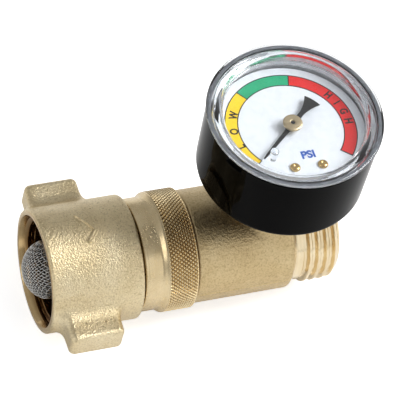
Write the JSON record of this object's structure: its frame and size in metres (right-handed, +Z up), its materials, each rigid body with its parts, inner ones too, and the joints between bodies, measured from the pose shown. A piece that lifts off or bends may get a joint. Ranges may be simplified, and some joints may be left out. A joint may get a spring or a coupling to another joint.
{
  "type": "pressure reducing valve",
  "caption": "Inline brass water pressure reducing valve with a winged swivel inlet nut, knurled collar, threaded hose outlet and a round dial gauge on top.",
  "frame": {"origin": "centre of the mouth of the inlet nut, on the flow axis", "axes": "+X along the flow from inlet to outlet, +Z up along the stem of the gauge, +Y to the left when looking along the flow"},
  "size_m": [0.0829, 0.0458, 0.0647],
  "materials": {
    "cast_brass": "sand-blasted casting, satin",
    "turned_brass": "turned, bright",
    "rubber": "moulded, matte",
    "stainless": "drawn wire and turned pins",
    "bronze": "drawn, satin",
    "black_case": "gloss black paint",
    "clear_lens": "moulded clear polycarbonate",
    "dial_face": "printed satin white",
    "pointer_black": "satin black"
  },
  "bodies": {
    "valve": {"valve_body": "cast_brass", "swivel_tailpiece": "turned_brass", "inlet_adapter": "turned_brass", "seat_holder": "turned_brass", "gauge_socket": "turned_brass", "movement_plate_lower": "turned_brass", "movement_plate_upper": "turned_brass", "movement_pillar_1": "turned_brass", "movement_pillar_2": "turned_brass", "dial_pillar_1": "turned_brass", "dial_pillar_2": "turned_brass", "dial_screw_1": "turned_brass", "dial_screw_2": "turned_brass", "hose_washer": "rubber", "adapter_seal": "rubber", "seat_disc": "rubber", "lens_gasket": "rubber", "inlet_screen": "stainless", "seat_screw": "stainless", "main_spring": "stainless", "case_screw_front": "stainless", "case_screw_rear": "stainless", "bourdon_tube": "bronze", "hairspring": "bronze", "gauge_case": "black_case", "lens": "clear_lens", "dial": "dial_face"},
    "nut": {"inlet_nut": "cast_brass"},
    "piston": {"piston": "turned_brass", "stem_seal": "rubber", "head_seal": "rubber"},
    "pointer": {"pointer_arbor": "stainless", "pointer": "pointer_black", "pointer_hub": "turned_brass", "hub_bush": "turned_brass"},
    "sector": {"sector_gear": "turned_brass"},
    "tip": {"tube_tip": "turned_brass", "tip_link": "turned_brass"}
  },
  "joints": [
    {"name": "nut_swivel", "type": "hinge", "parent": "valve", "child": "nut", "pos_m": [0.0116, 0, 0], "axis": [1, 0, 0], "continuous": true},
    {"name": "piston_slide", "type": "slide", "parent": "valve", "child": "piston", "axis": [-1, 0, 0], "range_m": [0, 0.002], "stiffness_N_per_m": 8000, "springref_m": -0.001, "deforming": ["main_spring"]},
    {"name": "pointer_turn", "type": "hinge", "parent": "valve", "child": "pointer", "pos_m": [0.05845, 0, 0.044], "axis": [0, 0, -1], "range_deg": [0, 262], "stiffness_Nm_per_rad": 0.000002, "deforming": ["hairspring"]},
    {"name": "sector_turn", "type": "hinge", "parent": "valve", "child": "sector", "pos_m": [0.05035, 0, 0.0367], "axis": [0, 0, 1], "range_deg": [0, 32.8]},
    {"name": "tip_slide", "type": "slide", "parent": "valve", "child": "tip", "axis": [0, -1, 0], "range_m": [0, 0.0018], "stiffness_N_per_m": 2000, "deforming": ["bourdon_tube"]}
  ],
  "couplings": [
    {"joint": "sector_turn", "follows": "tip_slide", "rad_per_m": 317.55},
    {"joint": "pointer_turn", "follows": "tip_slide", "rad_per_m": 2540.4}
  ]
}
